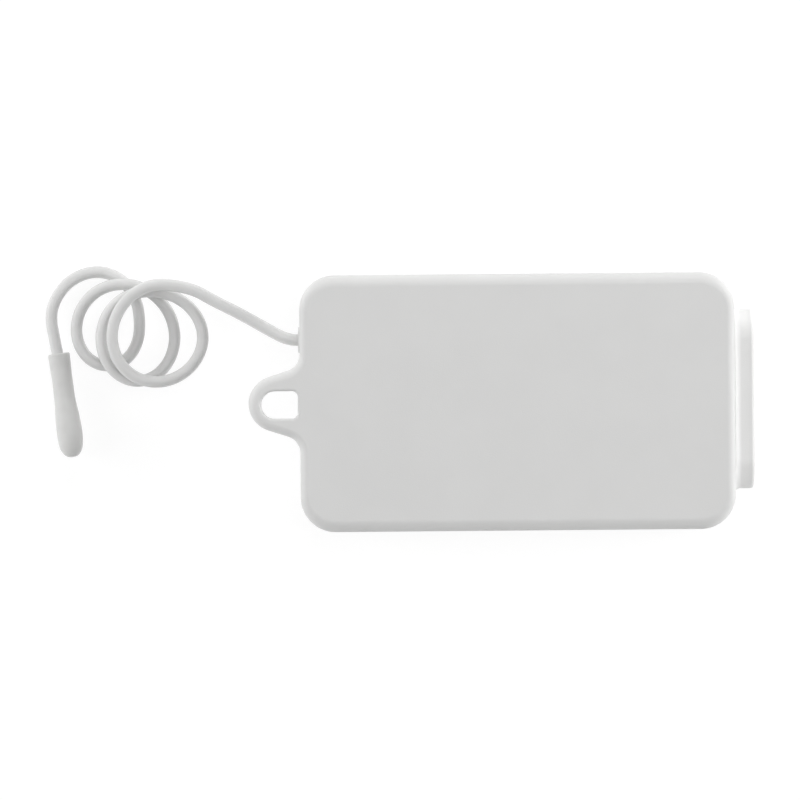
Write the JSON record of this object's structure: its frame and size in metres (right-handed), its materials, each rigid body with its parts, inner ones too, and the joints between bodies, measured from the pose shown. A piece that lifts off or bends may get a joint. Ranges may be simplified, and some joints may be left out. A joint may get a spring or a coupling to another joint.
{
  "type": "wi-fi smart switch",
  "caption": "Inline wi-fi switch box with a hanging lug, wire terminals behind a raised collar, a pairing button, a relay and a wired temperature probe.",
  "frame": {"origin": "centre of the case's front face, on which it lies", "axes": "+X along the case to the wire entries, +Y across it, +Z from the front face to the back face"},
  "size_m": [0.1438, 0.0545, 0.024],
  "materials": {
    "case_white": "fine moulded satin",
    "collar_white": "smooth moulded satin",
    "grommet_white": "soft satin",
    "cable_white": "soft satin jacket",
    "probe_white": "dipped satin",
    "screw_steel": "zinc plated",
    "terminal_screw_steel": "nickel plated",
    "cage_steel": "plated",
    "bar_brass": "tinned brass",
    "terminal_green": "moulded",
    "board_green": "solder mask",
    "radio_blue": "solder mask",
    "button_white": "satin",
    "switch_black": "moulded",
    "plunger_grey": "moulded",
    "pipe_clear": "clear",
    "lamp_clear": "tinted",
    "connector_white": "natural nylon",
    "wire_red_black": "insulation",
    "relay_blue": "moulded",
    "relay_base_black": "moulded",
    "bobbin_white": "moulded",
    "copper_wire": "enamelled copper",
    "iron": "plated iron",
    "leaf_copper": "spring copper",
    "ferrite": "sintered",
    "tape_yellow": "taped",
    "capacitor_black": "sleeved",
    "film_yellow": "boxed",
    "varistor_blue": "dipped",
    "fuse_glass": "glass and nickel caps",
    "chip_black": "moulded",
    "shield_tin": "tinned",
    "antenna_gold": "plated",
    "chip_grey": "ceramic",
    "bead_glass": "epoxy"
  },
  "bodies": {
    "case": {"back_shell": "case_white", "front_shell": "case_white", "terminal_collar": "collar_white", "housing_screws": "screw_steel", "cable_grommet": "grommet_white", "inner_cable": "cable_white", "cable_lead": "cable_white", "cable_coil": "cable_white", "probe_jacket": "probe_white", "thermistor": "bead_glass", "probe_wires": "wire_red_black", "probe_plug": "connector_white", "probe_header": "connector_white", "circuit_board": "board_green", "terminal_body": "terminal_green", "terminal_bars": "bar_brass", "tact_switch": "switch_black", "light_pipe": "pipe_clear", "status_led": "lamp_clear", "relay_cover": "relay_blue", "relay_base": "relay_base_black", "relay_bobbin": "bobbin_white", "relay_winding": "copper_wire", "relay_yoke": "iron", "relay_contact_open": "leaf_copper", "relay_contact_closed": "leaf_copper", "transformer_base": "relay_base_black", "transformer_core": "ferrite", "transformer_winding": "tape_yellow", "bulk_capacitors": "capacitor_black", "film_capacitor": "film_yellow", "varistor": "varistor_blue", "fuse": "fuse_glass", "bridge_rectifier": "chip_black", "voltage_regulator": "chip_black", "wifi_board": "radio_blue", "wifi_shield": "shield_tin", "wifi_chip": "chip_black", "wifi_antenna": "antenna_gold", "small_parts": "chip_grey"},
    "button": {"button_cap": "button_white"},
    "plunger": {"tact_plunger": "plunger_grey"},
    "armature": {"relay_armature": "iron", "relay_leaf": "leaf_copper"},
    "screw_1": {"terminal_screw_1": "terminal_screw_steel"},
    "cage_1": {"terminal_cage_1": "cage_steel"},
    "screw_2": {"terminal_screw_2": "terminal_screw_steel"},
    "cage_2": {"terminal_cage_2": "cage_steel"},
    "screw_3": {"terminal_screw_3": "terminal_screw_steel"},
    "cage_3": {"terminal_cage_3": "cage_steel"},
    "screw_4": {"terminal_screw_4": "terminal_screw_steel"},
    "cage_4": {"terminal_cage_4": "cage_steel"}
  },
  "joints": [
    {"name": "button_press", "type": "slide", "parent": "case", "child": "button", "axis": [0, 0, 1], "range_m": [0, 0.0003], "stiffness_N_per_m": 1500, "springref_m": -0.0004},
    {"name": "plunger_press", "type": "slide", "parent": "case", "child": "plunger", "axis": [0, 0, 1], "range_m": [0, 0.0003]},
    {"name": "relay_pull", "type": "hinge", "parent": "case", "child": "armature", "pos_m": [0.0068, 0.0075, 0.00785], "axis": [0, -1, 0], "range_deg": [0, 3], "stiffness_Nm_per_rad": 0.01, "springref_deg": -5.73},
    {"name": "terminal_turn_1", "type": "hinge", "parent": "case", "child": "screw_1", "pos_m": [0.034, -0.01113, 0.0065], "axis": [0, 0, 1], "range_deg": [0, 1800]},
    {"name": "cage_lift_1", "type": "slide", "parent": "case", "child": "cage_1", "axis": [0, 0, -1], "range_m": [0, 0.0025]},
    {"name": "terminal_turn_2", "type": "hinge", "parent": "case", "child": "screw_2", "pos_m": [0.034, -0.00351, 0.0065], "axis": [0, 0, 1], "range_deg": [0, 1800]},
    {"name": "cage_lift_2", "type": "slide", "parent": "case", "child": "cage_2", "axis": [0, 0, -1], "range_m": [0, 0.0025]},
    {"name": "terminal_turn_3", "type": "hinge", "parent": "case", "child": "screw_3", "pos_m": [0.034, 0.00411, 0.0065], "axis": [0, 0, 1], "range_deg": [0, 1800]},
    {"name": "cage_lift_3", "type": "slide", "parent": "case", "child": "cage_3", "axis": [0, 0, -1], "range_m": [0, 0.0025]},
    {"name": "terminal_turn_4", "type": "hinge", "parent": "case", "child": "screw_4", "pos_m": [0.034, 0.01173, 0.0065], "axis": [0, 0, 1], "range_deg": [0, 1800]},
    {"name": "cage_lift_4", "type": "slide", "parent": "case", "child": "cage_4", "axis": [0, 0, -1], "range_m": [0, 0.0025]}
  ],
  "couplings": [
    {"joint": "plunger_press", "follows": "button_press", "ratio": 1},
    {"joint": "terminal_turn_1", "follows": "cage_lift_1", "rad_per_m": 12566},
    {"joint": "terminal_turn_2", "follows": "cage_lift_2", "rad_per_m": 12566},
    {"joint": "terminal_turn_3", "follows": "cage_lift_3", "rad_per_m": 12566},
    {"joint": "terminal_turn_4", "follows": "cage_lift_4", "rad_per_m": 12566}
  ]
}
